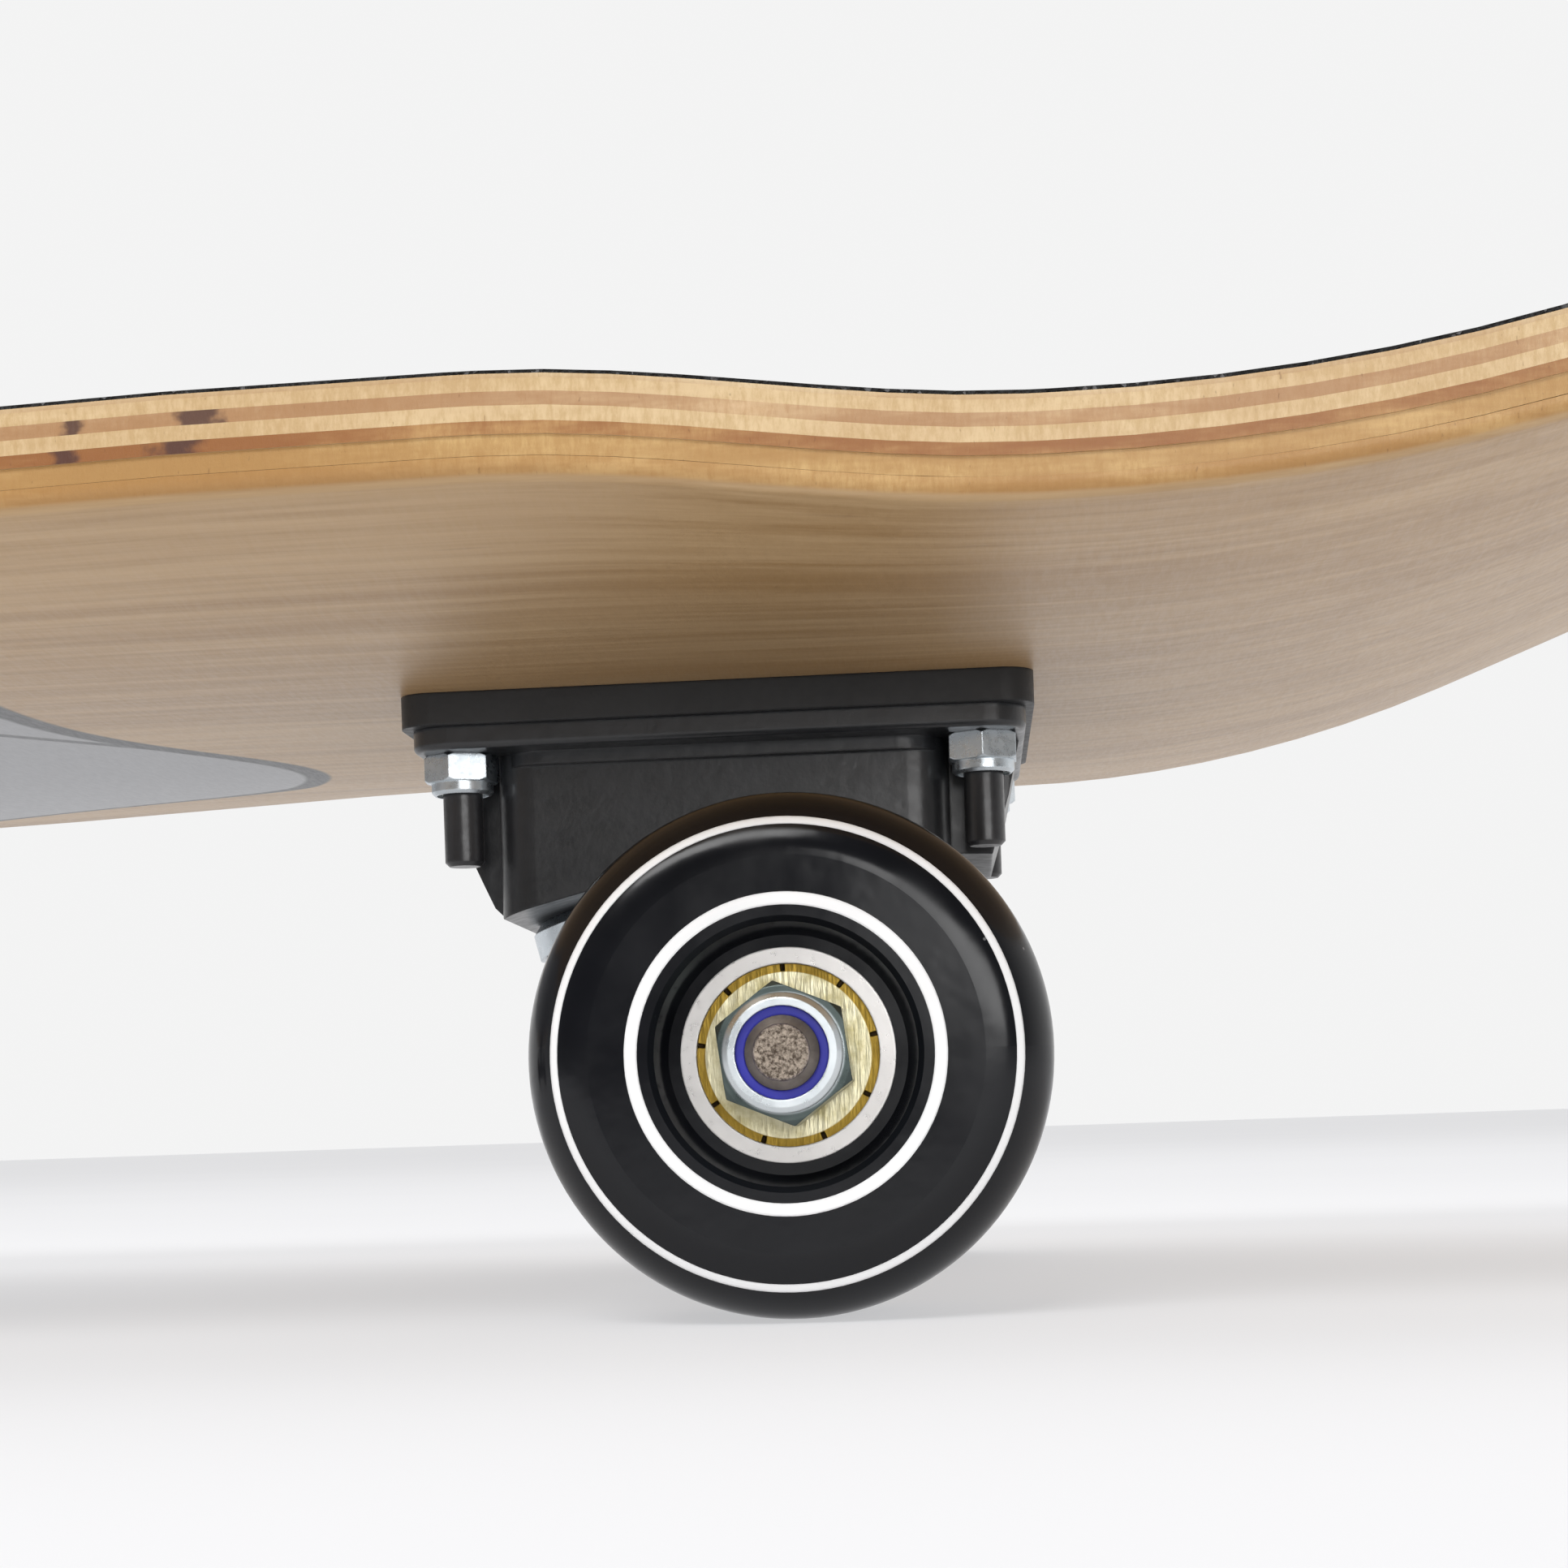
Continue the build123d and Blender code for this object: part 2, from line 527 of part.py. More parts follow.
def ball_places(plane):
    """A plane at the centre of each ball of one bearing, facing away from its axis."""
    places = []
    for index in range(BALL_COUNT):
        angle = radians(360.0 * index / BALL_COUNT)
        centre = plane.from_local_coords(Vector(BALL_PITCH * cos(angle), BALL_PITCH * sin(angle), 0))
        places.append(Plane(centre, x_dir=plane.z_dir, z_dir=centre - plane.origin))
    return places


def race_groove(plane):
    """The ring of space that the balls roll round in."""
    side = Plane(plane.origin, x_dir=plane.x_dir, z_dir=plane.x_dir.cross(plane.z_dir))
    return revolve(side * (Pos(BALL_PITCH, 0) * Circle(GROOVE_RADIUS)), Axis(plane.origin, plane.z_dir))


def make_bearing(plane):
    """One ball bearing centred on the plane: outer ring, inner ring, shields, cage and balls."""
    half = BEARING_WIDTH / 2
    groove = race_groove(plane)
    inner = tube(plane, AXLE_RADIUS + FIT, BEARING_INNER_RADIUS, -half, half) - groove
    rim = half - SHIELD_DEPTHS[1] - SHIELD_THICKNESS
    outer_radius = BEARING_RADIUS - FIT / 2
    outer = turned(plane, [(BEARING_OUTER_BORE, -rim), (SHIELD_OUTER, -rim), (SHIELD_OUTER, -half),
                           (outer_radius, -half), (outer_radius, half), (SHIELD_OUTER, half),
                           (SHIELD_OUTER, rim), (BEARING_OUTER_BORE, rim)]) - groove
    shields = [make_shield(plane, face) for face in (-1, 1)]
    cage = tube(plane, *CAGE_RADII, -CAGE_HALF_WIDTH, CAGE_HALF_WIDTH)
    places = ball_places(plane)
    for place_of_ball in places:
        cage = cage - rod(place_of_ball, POCKET_RADIUS, -BALL_RADIUS, BALL_RADIUS)
    balls = [Pos(place_of_ball.origin) * Sphere(BALL_RADIUS) for place_of_ball in places]
    return inner, outer, shields, [cage, *balls]


def make_shield(plane, face):
    """The pressed shield that closes one face of a bearing, stepped down where it is crimped in."""
    half = BEARING_WIDTH / 2
    high = half - SHIELD_DEPTHS[0]
    low = half - SHIELD_DEPTHS[1]
    outer = SHIELD_OUTER - FIT / 2
    points = [(SHIELD_INNER, high), (SHIELD_STEP, high), (SHIELD_STEP, low), (outer, low),
              (outer, low - SHIELD_THICKNESS), (SHIELD_STEP - SHIELD_THICKNESS, low - SHIELD_THICKNESS),
              (SHIELD_STEP - SHIELD_THICKNESS, high - SHIELD_THICKNESS),
              (SHIELD_INNER, high - SHIELD_THICKNESS)]
    return turned(plane, [(radius, face * distance) for radius, distance in points])


def make_wheel_set(side):
    """A wheel with its two bearings, on one side of a truck."""
    wheel = make_wheel(outboard(side, WHEEL_CENTRE))
    inners, outers, shields, cages = [], [], [], []
    for place in (-BEARING_CENTRE, BEARING_CENTRE):
        inner, outer, pair, cage = make_bearing(outboard(side, WHEEL_CENTRE + place))
        inners.append(inner)
        outers.append(outer)
        shields += pair
        cages += cage
    return wheel, inners, outers, shields, cages


# ---------------------------------------------------------------- assembly

def place(shape, end):
    """Move a truck piece to the front (+1) or rear (-1) end of the board."""
    turn = Rot(0, 0, 0 if end > 0 else 180)
    return Pos(end * AXLE_X, 0, 0) * turn * shape


def save(name, shapes):
    """Write one node, as a single solid or as a group of separate solids."""
    solids = [solid for shape in shapes for solid in shape.solids()]
    shape = solids[0] if len(solids) == 1 else Compound(children=solids)
    shape.label = name
    export_step(shape, f"parts/{name}.step")
    print(name, len(solids), "solids", round(sum(solid.volume for solid in solids)), "mm3")


def main():
    os.makedirs("parts", exist_ok=True)
    plies, tape = make_deck()
    for number, ply in enumerate(plies, start=1):
        save(f"deck_ply_{number}", [ply])
    save("grip_tape", [tape])
    bolts, nuts, rings = make_mounting_hardware()
    save("mounting_bolts", bolts)
    save("mounting_nuts", nuts)
    save("mounting_nut_inserts", rings)

    boardside, roadside, washers, kingpin_nut, kingpin_ring = make_stack()
    axle_nuts, axle_rings, speed_washers, spacers = make_axle_hardware()
    wheel_sets = {side: make_wheel_set(side) for side in (-1, 1)}
    bearing_inners = wheel_sets[-1][1] + wheel_sets[1][1]
    truck = {
        "riser_pad": [make_riser()],
        "baseplate": [make_baseplate()],
        "pivot_cup": [make_pivot_cup()],
        "kingpin": [make_kingpin()],
        "kingpin_nut": [kingpin_nut],
        "boardside_bushing": [boardside],
        "roadside_bushing": [roadside],
        "bushing_washers": washers,
        "hanger": [make_hanger()],
        "axle": [make_axle()],
        "axle_nuts": axle_nuts,
        "axle_nut_inserts": axle_rings,
        "speed_washers": speed_washers,
        "bearing_spacers": spacers,
        "bearing_inner_rings": bearing_inners,
    }
    for end, end_name in ((1, "front"), (-1, "rear")):
        for name, shapes in truck.items():
            save(f"{end_name}_{name}", [place(shape, end) for shape in shapes])
        for side, (wheel, _, outers, shields, cages) in wheel_sets.items():
            corner = f"{end_name}_{'left' if side * end > 0 else 'right'}"
            save(f"{corner}_wheel", [place(wheel, end)])
            save(f"{corner}_bearing_outer_rings", [place(shape, end) for shape in outers])
            save(f"{corner}_bearing_shields", [place(shape, end) for shape in shields])
            save(f"{corner}_ball_cages", [place(shape, end) for shape in cages])
    save("kingpin_nut_inserts", [place(kingpin_ring, end) for end in (1, -1)])


main()
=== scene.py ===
"""The looks of the skateboard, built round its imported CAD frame. Metres, in the frame of the CAD."""
from math import asin, atan2, cos, hypot, pi, radians, sin, sqrt, tan

import bmesh
import bpy
from mathutils import Matrix, Vector


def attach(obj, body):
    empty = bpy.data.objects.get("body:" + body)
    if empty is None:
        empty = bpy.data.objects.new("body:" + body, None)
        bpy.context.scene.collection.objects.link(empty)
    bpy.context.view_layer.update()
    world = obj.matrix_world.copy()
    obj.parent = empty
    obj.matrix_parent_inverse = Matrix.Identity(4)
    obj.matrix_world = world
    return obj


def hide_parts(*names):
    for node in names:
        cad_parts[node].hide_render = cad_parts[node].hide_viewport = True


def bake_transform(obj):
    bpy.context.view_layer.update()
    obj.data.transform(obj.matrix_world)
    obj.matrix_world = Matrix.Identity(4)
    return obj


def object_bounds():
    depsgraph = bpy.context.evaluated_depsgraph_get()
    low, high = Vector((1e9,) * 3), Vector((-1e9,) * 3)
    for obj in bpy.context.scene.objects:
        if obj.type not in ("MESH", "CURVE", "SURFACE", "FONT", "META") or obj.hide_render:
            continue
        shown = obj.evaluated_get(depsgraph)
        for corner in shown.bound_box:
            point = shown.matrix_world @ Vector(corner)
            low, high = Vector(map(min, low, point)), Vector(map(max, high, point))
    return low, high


MM = 0.001
ENDS = {"front": 1, "rear": -1}
SIDES = {"left": 1, "right": -1}

# Sizes that repeat the CAD.
AXLE_X = 223.6 * MM
AXLE_Z = 27.0 * MM
AXLE_TIP = 82.0 * MM
NUT_COLLAR = 6.0 * MM
SHIELD_GROOVE = 8.5 * MM
WHEEL_FACE = 76.5 * MM
WHEEL_FLAT_RADIUS = 20.0 * MM
WHEEL_LIP = 7.0 * MM
KINGPIN_LEAN = radians(14.0)
KINGPIN_SEAT = (196.4 * MM, 49.2 * MM)
KINGPIN_RADIUS = 4.81 * MM
DECK_UNDERSIDE = 72.95 * MM
DECK_HALF_WIDTH = 101.6 * MM
FLAT_HALF_WIDTH = 28.0 * MM
KICK_START = 251.0 * MM
KICK_RADIUS = 193.5 * MM
KICK_ANGLE = radians(21.0)
CONCAVE = (2.0 * MM, 6.9 * MM, 2.6 * MM)
SHOULDER_RISE = (40.0 * MM, 196.0 * MM)
SHOULDER_FALL = (199.0 * MM, 249.0 * MM)
LOWEST_PLY = 1.85 * MM

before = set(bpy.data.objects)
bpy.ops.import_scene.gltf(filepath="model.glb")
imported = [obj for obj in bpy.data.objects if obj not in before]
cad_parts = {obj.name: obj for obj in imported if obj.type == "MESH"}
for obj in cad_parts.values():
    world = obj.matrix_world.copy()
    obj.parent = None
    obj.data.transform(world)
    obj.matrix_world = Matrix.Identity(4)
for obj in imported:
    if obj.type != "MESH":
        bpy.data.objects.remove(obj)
cad_low, cad_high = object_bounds()


# ---------------------------------------------------------------- materials

def paint(red, green, blue):
    """An sRGB colour, given from 0 to 255, as linear light."""
    def linear(value):
        share = value / 255
        return share / 12.92 if share <= 0.04045 else ((share + 0.055) / 1.055) ** 2.4
    return (linear(red), linear(green), linear(blue), 1.0)


class Finish:
    """A procedural material and the few kinds of node it is built from."""

    def __init__(self, name, **numbers):
        self.material = bpy.data.materials.new(name)
        self.material.use_nodes = True
        self.tree = self.material.node_tree
        self.shader = self.tree.nodes["Principled BSDF"]
        self.point = self.node("TexCoord").outputs["Object"]
        for key, value in numbers.items():
            socket = key.replace("_", " ").title().replace("Ior", "IOR")
            self.shader.inputs[socket].default_value = value

    def node(self, kind, values=(), **settings):
        """Add a node, and feed its sockets with numbers or with other nodes' outputs."""
        made = self.tree.nodes.new("ShaderNode" + kind)
        for key, value in settings.items():
            setattr(made, key, value)
        for socket, value in dict(values).items():
            self.feed(made.inputs[socket], value)
        return made

    def feed(self, socket, value):
        if isinstance(value, bpy.types.NodeSocket):
            self.tree.links.new(value, socket)
        else:
            socket.default_value = value

    def math(self, operation, first, second=0.0, third=0.0):
        return self.node("Math", {0: first, 1: second, 2: third}, operation=operation).outputs[0]

    def axes(self):
        parts = self.node("SeparateXYZ", {0: self.point})
        return parts.outputs[0], parts.outputs[1], parts.outputs[2]

    def noise(self, scale, detail=3.0, roughness=0.55, shift=(0, 0, 0)):
        """Cloudy noise whose scale is in waves per metre along X, Y and Z."""
        placed = self.node("Mapping", {"Vector": self.point, "Scale": scale, "Location": shift})
        values = {"Vector": placed.outputs[0], "Scale": 1.0, "Detail": detail, "Roughness": roughness}
        return self.node("TexNoise", values).outputs["Fac"]

    def cells(self, scale):
        return self.node("TexVoronoi", {"Vector": self.point, "Scale": scale})

    def step(self, value, low, high, start=0.0, end=1.0):
        """Go smoothly from start to end while the value goes from low to high."""
        ends = {"Value": value, "From Min": low, "From Max": high, "To Min": start, "To Max": end}
        return self.node("MapRange", ends, interpolation_type="SMOOTHSTEP").outputs[0]

    def mix(self, share, first, second):
        values = {0: share, 6: first, 7: second}
        return self.node("Mix", values, data_type="RGBA").outputs[2]

    def steep(self):
        """1 on the deck's cut edges and 0 on its faces."""
        normal = self.node("SeparateXYZ", {0: self.node("NewGeometry").outputs["Normal"]})
        return self.step(self.math("ABSOLUTE", normal.outputs[2]), *FACE_SLOPE, 1.0, 0.0)

    def bump(self, height, depth, rounding=None):
        made = self.node("Bump", {"Height": height, "Distance": depth, "Strength": 1.0})
        if rounding:
            self.feed(made.inputs["Normal"], self.node("Bevel", {"Radius": rounding}, samples=4).outputs[0])
        self.feed(self.shader.inputs["Normal"], made.outputs[0])

    def colour(self, value):
        self.feed(self.shader.inputs["Base Color"], value)

    def gloss(self, value):
        self.feed(self.shader.inputs["Roughness"], value)


# Between these two values of the normal's upward part, a cut edge turns into a face.
FACE_SLOPE = (0.55, 0.8)

# The deck's print: the place of its end, a swelling on one side, its corners, outline and diagonal.
PRINT_GREY = paint(160, 161, 164)
PRINT_LINE = paint(52, 54, 58)
PRINT_END = 128.5 * MM
SWELL_PLACE = 34.0 * MM
SWELL_WIDTH = 32.0 * MM
SWELL_LENGTH = 23.0 * MM
CORNER_SPAN = (50.0 * MM, 100.0 * MM)
CORNER_DEPTH = 60.0 * MM
OUTLINE_OUTSIDE = (0.0, 0.9 * MM)
OUTLINE_INSIDE = (3.6 * MM, 4.6 * MM)
DIAGONAL_START = 131.1 * MM
DIAGONAL_SLOPE = 0.89
DIAGONAL_EDGE = (0.8 * MM, 1.8 * MM)
DIAGONAL_STRENGTH = 0.85
DIAGONAL_INSIDE = (3.0 * MM, 4.0 * MM)
DIAGONAL_ACROSS = (-50.0 * MM, -30.0 * MM)


def printed_area(f, face):
    """The deck's plain grey print: it fills the middle of the underside inside a dark outline."""
    x, y, _ = f.axes()
    along = f.math("ABSOLUTE", x)
    across = f.math("MULTIPLY", y, f.math("SIGN", x))
    offset = f.math("DIVIDE", f.math("SUBTRACT", across, SWELL_PLACE), SWELL_WIDTH)
    swell = f.math("EXPONENT", f.math("MULTIPLY", f.math("MULTIPLY", offset, offset), -1.0))
    edge = f.math("MULTIPLY_ADD", swell, SWELL_LENGTH, PRINT_END)
    edge = f.math("SUBTRACT", edge, f.step(f.math("ABSOLUTE", y), *CORNER_SPAN, 0.0, CORNER_DEPTH))
    inside = f.math("SUBTRACT", edge, along)
    shade = f.mix(f.step(inside, *OUTLINE_OUTSIDE), face, PRINT_LINE)
    shade = f.mix(f.step(inside, *OUTLINE_INSIDE), shade, PRINT_GREY)
    diagonal = f.math("SUBTRACT", along, f.math("MULTIPLY_ADD", across, DIAGONAL_SLOPE, DIAGONAL_START))
    line = f.step(f.math("ABSOLUTE", diagonal), *DIAGONAL_EDGE, DIAGONAL_STRENGTH, 0.0)
    line = f.math("MULTIPLY", line, f.step(inside, *DIAGONAL_INSIDE))
    line = f.math("MULTIPLY", line, f.step(across, *DIAGONAL_ACROSS))
    return f.mix(line, shade, PRINT_LINE)


FACE_LIGHT = paint(196, 164, 122)
FACE_DARK = paint(166, 131, 88)
FACE_FLECK = paint(150, 118, 86)
EDGE_PIT = paint(112, 72, 36)
KNOT = paint(70, 42, 40)

# Scales of the wood's noise, in waves per metre along X, Y and Z.
LONG_GRAIN = (16, 520, 520)
BROAD_BANDS = (3.2, 46, 46)
FLECKS = (40, 900, 900)
EDGE_FIBRES = (1700, 260, 520)
EDGE_CLOUD = (30, 10, 320)
EDGE_STREAKS = (26, 6, 130)
EDGE_PITS = (2600, 700, 900)
KNOT_OUTLINE = (420, 60, 500)
KNOT_SIDE = (-60.0 * MM, -50.0 * MM)
WOOD_RELIEF = 0.12 * MM


def add_knots(f, edge, knots):
    """Dark knots on the right-hand edge, each given by its place along the board and its length in mm."""
    x, y, _ = f.axes()
    for place, length in knots:
        size = length * MM
        away = f.math("ABSOLUTE", f.math("SUBTRACT", x, place * MM))
        rough = f.math("MULTIPLY_ADD", f.noise(KNOT_OUTLINE), -2.4 * size, away)
        near = f.math("MULTIPLY", f.step(rough, -1.0 * size, -0.2 * size, 0.85, 0.0),
                      f.step(y, *KNOT_SIDE, 1.0, 0.0))
        edge = f.mix(near, edge, KNOT)
    return edge


def ply_finish(name, edge_light, edge_dark, streak, blotches, knots=(), printed=False):
    """Maple: long grain on the faces, and short fibres, blotches and knots on the cut edge."""
    f = Finish(name, coat_weight=0.45, coat_roughness=0.35, specular_ior_level=0.3)
    grain = f.noise(LONG_GRAIN, detail=7, roughness=0.62)
    bands = f.noise(BROAD_BANDS, shift=(4, 2, 0))
    share = f.math("ADD", f.math("MULTIPLY", grain, 0.55), f.math("MULTIPLY", bands, 0.55))
    face = f.mix(f.step(share, 0.38, 0.72), FACE_LIGHT, FACE_DARK)
    flecks = f.noise(FLECKS, detail=2, shift=(9, 1, 3))
    face = f.mix(f.step(flecks, 0.66, 0.8, 0.0, 0.35), face, FACE_FLECK)
    if printed:
        face = printed_area(f, face)

    fibres = f.noise(EDGE_FIBRES, detail=6, roughness=0.72)
    cloud = f.noise(EDGE_CLOUD, shift=(7, 0, 5))
    share = f.math("ADD", f.math("MULTIPLY", fibres, 0.6), f.math("MULTIPLY", cloud, 0.4))
    edge = f.mix(f.step(share, 0.4, 0.62), edge_light, edge_dark)
    streaks = f.noise(EDGE_STREAKS, detail=5, roughness=0.68, shift=(1.5, 0, 8))
    streaked = f.step(streaks, 0.5 - blotches / 2, 0.62, 0.0, min(1.0, 2.2 * blotches))
    edge = f.mix(streaked, edge, streak)
    pits = f.noise(EDGE_PITS, detail=2, shift=(3, 3, 1))
    edge = f.mix(f.step(pits, 0.68, 0.76, 0.0, 0.4), edge, EDGE_PIT)
    edge = add_knots(f, edge, knots)

    steep = f.steep()
    f.colour(f.mix(steep, face, edge))
    f.gloss(f.step(fibres, 0.3, 0.7, 0.36, 0.5))
    height = f.math("ADD", f.math("MULTIPLY", fibres, steep), f.math("MULTIPLY", grain, 0.35))
    f.bump(height, WOOD_RELIEF)
    return f.material


GRAINS_PER_METRE = 2300
GRAIN_RELIEF = 0.5 * MM


def grip_finish():
    """Coarse black abrasive, with a few grains that catch the light."""
    f = Finish("grip_abrasive", specular_ior_level=0.5)
    grains = f.cells(GRAINS_PER_METRE)
    tone = f.node("SeparateXYZ", {0: grains.outputs["Color"]}).outputs[0]
    f.colour(f.mix(f.step(tone, 0.9, 0.96), paint(26, 26, 27), paint(96, 96, 98)))
    f.gloss(f.step(tone, 0.0, 1.0, 0.95, 0.6))
    f.bump(f.math("ADD", grains.outputs["Distance"], f.noise((2500, 2500, 2500))), GRAIN_RELIEF)
    return f.material


# How far corners look rounded, on dark pieces and on steel ones.
SOFT_CORNER = 0.4 * MM
STEEL_CORNER = 0.2 * MM
STEEL_RELIEF = 0.01 * MM


def black_finish(name, dark, light, roughness, grain, depth, coat=0.0):
    """Paint, plastic or rubber: small changes of tone and a fine skin."""
    f = Finish(name, coat_weight=coat, coat_roughness=0.2)
    broad = f.noise((70, 70, 70), detail=4)
    skin = f.noise((grain, grain, grain))
    f.colour(f.mix(f.step(broad, 0.3, 0.7), dark, light))
    f.gloss(f.step(skin, 0.3, 0.7, roughness - 0.05, roughness + 0.05))
    f.bump(skin, depth, rounding=SOFT_CORNER)
    return f.material


def wheel_finish():
    """Glossy black urethane, with fine dust and a faint swirl."""
    f = Finish("wheel_urethane_black", specular_ior_level=0.36)
    dust = f.cells(330)
    chosen = f.node("SeparateXYZ", {0: dust.outputs["Color"]}).outputs[1]
    specks = f.math("MULTIPLY", f.step(dust.outputs["Distance"], 0.03, 0.07, 1.0, 0.0),
                    f.step(chosen, 0.86, 0.9))
    base = f.mix(f.noise((60, 60, 60), detail=4), paint(9, 10, 13), paint(17, 18, 23))
    f.colour(f.mix(f.math("MULTIPLY", specks, 0.5), base, paint(150, 150, 150)))
    haze = f.noise((90, 90, 90), detail=5)
    f.gloss(f.step(haze, 0.3, 0.75, 0.13, 0.24))
    f.bump(f.noise((240, 240, 240), detail=2), 0.03 * MM)
    return f.material


def metal_finish(name, light, dark, roughness):
    """Bare or plated steel, clouded and lightly scratched."""
    f = Finish(name, metallic=1.0)
    cloud = f.noise((260, 260, 260), detail=5)
    scratches = f.noise((900, 900, 900), detail=5, roughness=0.7)
    f.colour(f.mix(f.step(cloud, 0.3, 0.8, 0.0, 0.6), light, dark))
    f.gloss(f.step(scratches, 0.3, 0.7, roughness - 0.04, roughness + 0.08))
    f.bump(scratches, STEEL_RELIEF, rounding=STEEL_CORNER)
    return f.material


def from_axle(f):
    """Distance from the nearer axle's centre line, and the angle round it."""
    x, _, z = f.axes()
    aside = f.math("SUBTRACT", f.math("ABSOLUTE", x), AXLE_X)
    above = f.math("SUBTRACT", z, AXLE_Z)
    squares = f.math("ADD", f.math("MULTIPLY", aside, aside), f.math("MULTIPLY", above, above))
    return f.math("SQRT", squares), f.math("ARCTAN2", above, aside)


CRIMPS = 9
CRIMP_TURN = 0.2
CRIMP_WIDTH = (0.02, 0.045)


def shield_finish():
    """Yellow zinc, browner in the crimped groove, with dark crimp marks round it."""
    f = Finish("shield_yellow_zinc", metallic=1.0)
    reach, angle = from_axle(f)
    cloud = f.noise((420, 420, 420), detail=5, roughness=0.6)
    scratches = f.noise((1800, 200, 300), detail=4)
    gold = f.mix(f.step(cloud, 0.35, 0.7), paint(222, 215, 182), paint(184, 173, 128))
    gold = f.mix(f.step(scratches, 0.6, 0.72, 0.0, 0.5), gold, paint(120, 104, 66))
    groove = f.step(reach, SHIELD_GROOVE - 0.1 * MM, SHIELD_GROOVE + 0.05 * MM)
    gold = f.mix(groove, gold, f.mix(cloud, paint(168, 140, 62), paint(112, 88, 34)))
    turn = f.math("FRACT", f.math("MULTIPLY_ADD", angle, CRIMPS / (2 * pi), CRIMP_TURN))
    beside = f.math("ABSOLUTE", f.math("SUBTRACT", turn, 0.5))
    crimp = f.math("MULTIPLY", f.step(beside, *CRIMP_WIDTH, 1.0, 0.0),
                   f.step(reach, SHIELD_GROOVE, SHIELD_GROOVE + 0.2 * MM))
    f.colour(f.mix(crimp, gold, paint(34, 26, 16)))
    f.gloss(f.step(cloud, 0.3, 0.7, 0.28, 0.42))
    f.bump(f.math("SUBTRACT", scratches, f.math("MULTIPLY", crimp, 2.0)), 0.08 * MM)
    return f.material


def nut_finish():
    """Bright zinc on the nut's round collar, over hex sides painted darker as painted shade."""
    f = Finish("zinc_nut_painted_shade", metallic=1.0)
    reach, _ = from_axle(f)
    cloud = f.noise((300, 300, 300), detail=5)
    bright = f.mix(cloud, paint(206, 214, 218), paint(236, 241, 243))
    # Painted shade: the hex sides beyond the collar get a dark zinc colour in place of their shading.
    painted_shade_sides = f.mix(cloud, paint(58, 68, 66), paint(104, 114, 112))
    blur = 0.25 * MM
    # Bright zinc inside the collar's radius, painted shade on the hex sides outside it.
    f.colour(f.mix(f.step(reach, NUT_COLLAR - blur, NUT_COLLAR + blur), bright, painted_shade_sides))
    f.gloss(f.step(cloud, 0.3, 0.7, 0.24, 0.36))
    f.bump(f.noise((900, 900, 900)), STEEL_RELIEF, rounding=STEEL_CORNER)
    return f.material


def axle_finish():
    """Plain steel, with a coarse sawn and rusty end."""
    f = Finish("axle_sawn_steel", metallic=0.85)
    _, y, _ = f.axes()
    reach, _ = from_axle(f)
    at_tip = f.step(f.math("ABSOLUTE", y), AXLE_TIP - 0.1 * MM, AXLE_TIP + 0.1 * MM)
    end = f.math("MULTIPLY", at_tip, f.step(reach, 3.4 * MM, 3.6 * MM, 1.0, 0.0))
    grit = f.noise((2600, 2600, 2600), detail=6, roughness=0.8)
    rust = f.mix(f.step(grit, 0.38, 0.62), paint(84, 72, 62), paint(206, 192, 176))
    plain = f.mix(f.noise((700, 90, 700), detail=4), paint(92, 84, 76), paint(150, 142, 134))
    f.colour(f.mix(end, plain, rust))
    f.gloss(f.step(grit, 0.3, 0.7, 0.35, 0.6))
    f.bump(f.math("MULTIPLY", grit, f.step(end, 0.0, 1.0, 0.15, 1.0)), 0.2 * MM)
    return f.material


# Each ply: light and dark edge wood, the colour of its streaks, and how much it is streaked.
GOLDEN = (paint(214, 178, 120), paint(192, 152, 94), paint(172, 128, 72), 0.4)
LOWEST = (paint(212, 174, 116), paint(190, 148, 90), paint(170, 124, 68), 0.4)
ORANGE = (paint(206, 166, 108), paint(182, 136, 82), paint(150, 96, 50), 0.45)
CREAM = (paint(220, 192, 148), paint(200, 168, 120), paint(184, 144, 98), 0.1)
TAN = (paint(216, 184, 142), paint(198, 160, 116), paint(164, 118, 76), 0.35)
BEIGE = (paint(226, 202, 162), paint(208, 180, 136), paint(186, 148, 104), 0.25)
RISER = black_finish("riser_plastic", paint(22, 23, 25), paint(31, 32, 34), 0.45, 900, 0.03 * MM)
PAINTED = black_finish("truck_black_paint", paint(28, 29, 31), paint(38, 39, 42), 0.34, 520, 0.06 * MM,
                       coat=0.2)
RUBBER = black_finish("black_urethane_rubber", paint(24, 24, 25), paint(34, 34, 35), 0.45, 700, 0.04 * MM)
BLACK_STEEL = black_finish("black_oxide_steel", paint(26, 26, 28), paint(42, 42, 45), 0.34, 1400, 0.04 * MM,
                           coat=0.3)
ZINC = metal_finish("bright_zinc", paint(214, 221, 226), paint(186, 196, 202), 0.28)
BEARING_STEEL = metal_finish("ground_steel", paint(216, 213, 210), paint(200, 197, 194), 0.3)
BLUE_NYLON = black_finish("blue_nylon", paint(30, 32, 140), paint(42, 44, 168), 0.4, 800, 0.03 * MM)
PALE_NYLON = black_finish("natural_nylon", paint(206, 210, 208), paint(224, 228, 226), 0.42, 800, 0.03 * MM)
INK = black_finish("white_ink", paint(244, 244, 244), paint(252, 252, 252), 0.4, 900, 0.01 * MM)

